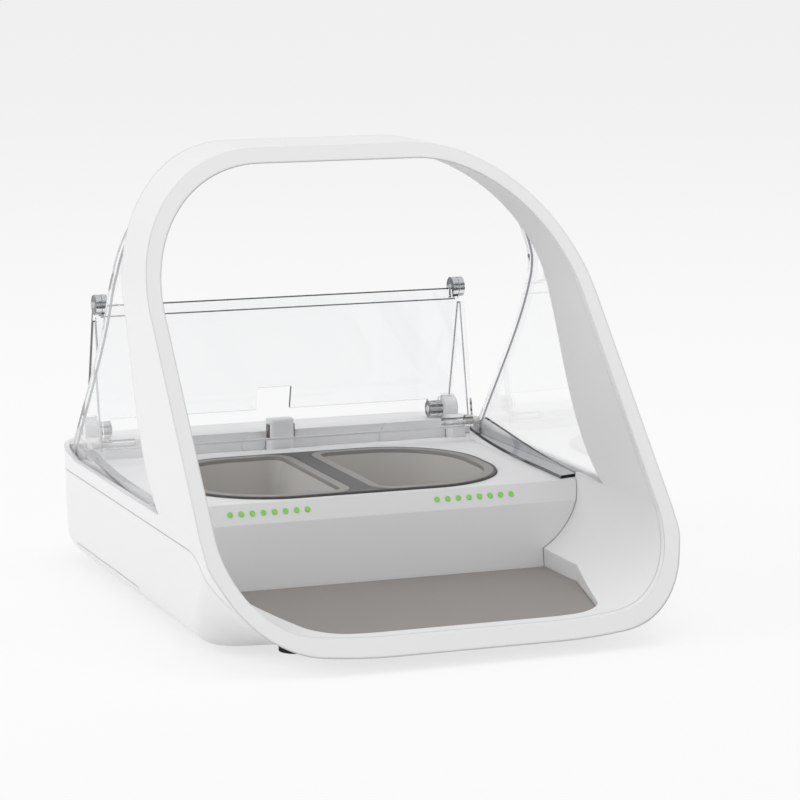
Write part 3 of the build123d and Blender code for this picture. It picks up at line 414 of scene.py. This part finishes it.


# thin bead along the lid, riding one of its panels; the white one along the front panel's lip is a painted
# highlight
def addBead(name, body, place, radius, material):
    curve = bpy.data.curves.new(name, "CURVE")
    curve.dimensions = "3D"
    curve.bevel_depth = radius
    curve.bevel_resolution = 3
    curve.use_fill_caps = True
    line = curve.splines.new("POLY")
    line.points.add(lidLines["steps"])
    for number, point in enumerate(line.points):
        x = lidLines["halfWidth"] * (2 * number / lidLines["steps"] - 1)
        point.co = (x, place[0], place[1], 1)
    shape = bpy.data.objects.new(name, curve)
    bpy.context.scene.collection.objects.link(shape)
    graph = bpy.context.evaluated_depsgraph_get()
    mesh = bpy.data.meshes.new_from_object(shape.evaluated_get(graph))
    mesh.name = name
    bpy.data.objects.remove(shape)
    bead = bpy.data.objects.new(name, mesh)
    bpy.context.scene.collection.objects.link(bead)
    mesh.materials.clear()
    mesh.materials.append(material)
    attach(bead, body)


# a place past one of the lid's axes, along the panel and out from it
def alongLid(start, end, past, out):
    run = Vector((end[0] - start[0], end[1] - start[1]))
    step = run.normalized()
    side = Vector((step.y, -step.x))
    spot = Vector(end) + step * past + side * out
    return spot.x, spot.y


made["paintedHighlightWhite"] = makeMoulded("paintedHighlightWhite", dict(color=(0.92, 0.93, 0.94), roughness=0.2, bump=0.01))
made["beadSmoke"] = makeMoulded("beadSmoke", dict(color=(0.16, 0.16, 0.17), roughness=0.2, bump=0.01))
# painted highlight: a white bead along the lower edge of the front panel
lipSpot = alongLid(lid["fold"], lid["slide"], lidLines["lipPast"], -lidLines["lipSink"])
addBead("lidLipPaintedHighlight", "lid_front", lipSpot, lidLines["lipRadius"], made["paintedHighlightWhite"])
hingeSpot = alongLid(lid["slide"], lid["fold"], -lidLines["hingeDrop"], lidLines["hingeRise"])
addBead("lidHingeBead", "lid_front", hingeSpot, lidLines["hingeRadius"], made["beadSmoke"])
print("lid beads added")

studio = dict(
    floorSize=30.0,
    floorColor=(0.97, 0.97, 0.97),
    shadowShare=0.30,  # how much of the shading on the floor is seen
    fill=0.73,  # soft light from all round
    topPower=12.0,
    topPlace=(0.35, 0.1, 1.9),
    topSize=2.2,
    sidePower=9.5,
    sidePlace=(-1.8, 0.3, 0.9),
    sideSize=1.6,
    aim=(0, 0, 0.08),
)


# white floor that shows a part of the shading on it
def makeFloor():
    mesh = bpy.data.meshes.new("studioFloor")
    half = studio["floorSize"] / 2
    corners = [(-half, -half, 0), (half, -half, 0), (half, half, 0), (-half, half, 0)]
    mesh.from_pydata(corners, [], [(0, 1, 2, 3)])
    floor = bpy.data.objects.new("studioFloor", mesh)
    bpy.context.scene.collection.objects.link(floor)
    material = bpy.data.materials.new("studioFloor")
    material.use_nodes = True
    tree = material.node_tree
    tree.nodes.clear()
    link = tree.links.new
    diffuse = addNode(tree, "ShaderNodeBsdfDiffuse")
    diffuse.inputs["Color"].default_value = (*studio["floorColor"], 1)
    glow = addNode(tree, "ShaderNodeEmission")
    path = addNode(tree, "ShaderNodeLightPath")
    seen = addNode(tree, "ShaderNodeMath", operation="MAXIMUM")
    seenToo = addNode(tree, "ShaderNodeMath", operation="MAXIMUM")
    share = addNode(tree, "ShaderNodeMath", operation="MULTIPLY")
    share.inputs[1].default_value = 1 - studio["shadowShare"]
    mix = addNode(tree, "ShaderNodeMixShader")
    result = addNode(tree, "ShaderNodeOutputMaterial")
    link(path.outputs["Is Camera Ray"], seen.inputs[0])
    link(path.outputs["Is Transmission Ray"], seen.inputs[1])
    link(seen.outputs[0], seenToo.inputs[0])
    link(path.outputs["Is Glossy Ray"], seenToo.inputs[1])
    link(seenToo.outputs[0], share.inputs[0])
    link(share.outputs[0], mix.inputs["Fac"])
    link(diffuse.outputs[0], mix.inputs[1])
    link(glow.outputs[0], mix.inputs[2])
    link(mix.outputs[0], result.inputs["Surface"])
    mesh.materials.append(material)


# white where it is seen, dimmer where it lights the part
def makeWorld():
    world = bpy.data.worlds.new("studioLight")
    bpy.context.scene.world = world
    world.use_nodes = True
    tree = world.node_tree
    tree.nodes.clear()
    link = tree.links.new
    path = addNode(tree, "ShaderNodeLightPath")
    seen = addNode(tree, "ShaderNodeMath", operation="MAXIMUM")
    seenToo = addNode(tree, "ShaderNodeMath", operation="MAXIMUM")
    mix = addNode(tree, "ShaderNodeMix", data_type="FLOAT")
    mix.inputs["A"].default_value = studio["fill"]
    mix.inputs["B"].default_value = 1.0
    sky = addNode(tree, "ShaderNodeBackground")
    result = addNode(tree, "ShaderNodeOutputWorld")
    link(path.outputs["Is Camera Ray"], seen.inputs[0])
    link(path.outputs["Is Transmission Ray"], seen.inputs[1])
    link(seen.outputs[0], seenToo.inputs[0])
    link(path.outputs["Is Glossy Ray"], seenToo.inputs[1])
    link(seenToo.outputs[0], mix.inputs["Factor"])
    link(mix.outputs["Result"], sky.inputs["Strength"])
    link(sky.outputs[0], result.inputs["Surface"])


def addLamp(name, power, place, size):
    light = bpy.data.lights.new(name, "AREA")
    light.energy = power
    light.size = size
    light.shape = "DISK"
    lamp = bpy.data.objects.new(name, light)
    bpy.context.scene.collection.objects.link(lamp)
    lamp.location = place
    lamp.rotation_euler = (Vector(studio["aim"]) - Vector(place)).to_track_quat("-Z", "Y").to_euler()


photoCamera = dict(
    place=(-0.52750, -1.43079, 0.35044),
    turn=20.94,  # degrees to the right
    tilt=9.60,  # degrees down
    lens=148.1,
    sensor=36,
)


def makeCamera():
    data = bpy.data.cameras.new("photoCamera")
    data.lens = photoCamera["lens"]
    data.sensor_width = photoCamera["sensor"]
    camera = bpy.data.objects.new("photoCamera", data)
    bpy.context.scene.collection.objects.link(camera)
    camera.location = photoCamera["place"]
    camera.rotation_euler = (radians(90 - photoCamera["tilt"]), 0, -radians(photoCamera["turn"]))
    bpy.context.scene.camera = camera


makeFloor()
makeWorld()
addLamp("topSoftbox", studio["topPower"], studio["topPlace"], studio["topSize"])
addLamp("sideSoftbox", studio["sidePower"], studio["sidePlace"], studio["sideSize"])
makeCamera()
bpy.context.scene.view_settings.view_transform = "Standard"
print("studio ready")
